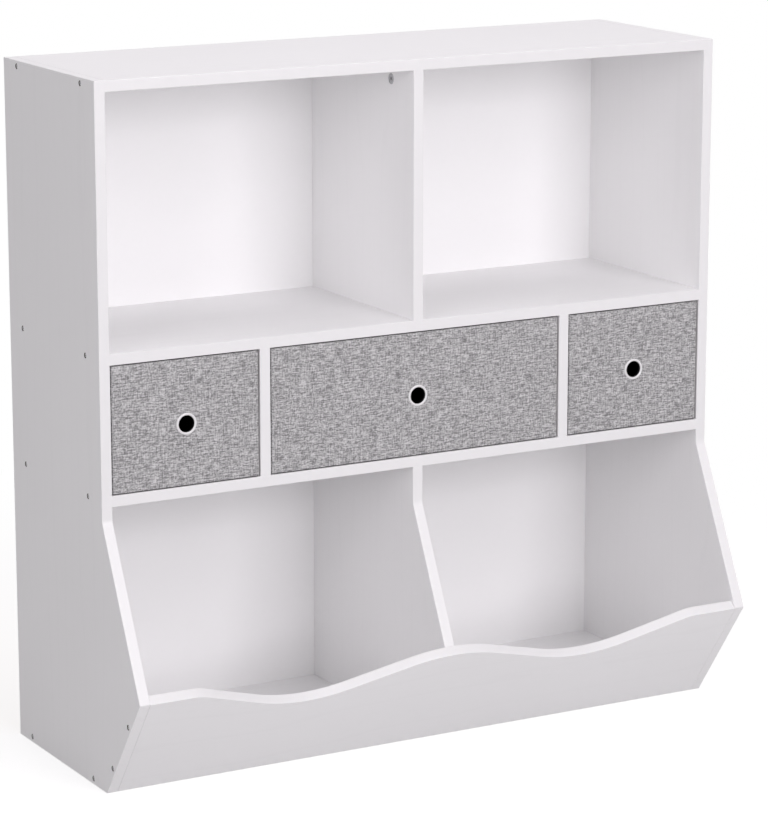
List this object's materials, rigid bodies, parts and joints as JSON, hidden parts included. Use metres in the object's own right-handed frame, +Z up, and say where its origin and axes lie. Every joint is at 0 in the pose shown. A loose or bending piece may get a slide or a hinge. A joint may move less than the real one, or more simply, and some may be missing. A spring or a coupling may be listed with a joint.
{
  "type": "toy storage organizer with bins",
  "caption": "Low white cabinet with open bays, a row of fabric pull-out drawers and deep toy bins behind a leaning, wavy front panel.",
  "frame": {"origin": "on the floor, in the middle of the outline in plan", "axes": "+X to the object's left-to-right as seen from the front, +Y to the back, +Z up"},
  "size_m": [0.93, 0.3917, 0.93],
  "materials": {
    "white_board": "white melamine with a faint grain, eased edging strips",
    "back_board": "white lacquered thin fibreboard",
    "zinc_steel": "zinc-plated steel",
    "zinc_casting": "die-cast zinc",
    "beech": "raw fluted beech",
    "linen_fabric": "linen-look woven polyester with slubs",
    "stiffener": "grey board",
    "drawer_lining": "non-woven lining",
    "eyelet": "silver-white moulded ring"
  },
  "bodies": {
    "cabinet": {"left_side_panel": "white_board", "right_side_panel": "white_board", "top_board": "white_board", "middle_shelf": "white_board", "lower_shelf": "white_board", "bottom_board": "white_board", "upper_divider": "white_board", "lower_divider": "white_board", "left_drawer_divider": "white_board", "right_drawer_divider": "white_board", "front_wave_panel": "white_board", "back_panel_bottom": "back_board", "back_panel_middle": "back_board", "back_panel_top": "back_board", "case_screws": "zinc_steel", "divider_dowels": "beech", "cam_locks": "zinc_casting", "cam_bolts": "zinc_steel"},
    "left_drawer": {"left_drawer_cover": "linen_fabric", "left_drawer_front_board": "stiffener", "left_drawer_back_board": "stiffener", "left_drawer_left_board": "stiffener", "left_drawer_right_board": "stiffener", "left_drawer_base_board": "stiffener", "left_drawer_lining": "drawer_lining", "left_drawer_eyelet": "eyelet"},
    "middle_drawer": {"middle_drawer_cover": "linen_fabric", "middle_drawer_front_board": "stiffener", "middle_drawer_back_board": "stiffener", "middle_drawer_left_board": "stiffener", "middle_drawer_right_board": "stiffener", "middle_drawer_base_board": "stiffener", "middle_drawer_lining": "drawer_lining", "middle_drawer_eyelet": "eyelet"},
    "right_drawer": {"right_drawer_cover": "linen_fabric", "right_drawer_front_board": "stiffener", "right_drawer_back_board": "stiffener", "right_drawer_left_board": "stiffener", "right_drawer_right_board": "stiffener", "right_drawer_base_board": "stiffener", "right_drawer_lining": "drawer_lining", "right_drawer_eyelet": "eyelet"}
  },
  "joints": [
    {"name": "left_drawer_slide", "type": "slide", "parent": "cabinet", "child": "left_drawer", "axis": [0, -1, 0], "range_m": [0, 0.24]},
    {"name": "middle_drawer_slide", "type": "slide", "parent": "cabinet", "child": "middle_drawer", "axis": [0, -1, 0], "range_m": [0, 0.24]},
    {"name": "right_drawer_slide", "type": "slide", "parent": "cabinet", "child": "right_drawer", "axis": [0, -1, 0], "range_m": [0, 0.24]}
  ]
}
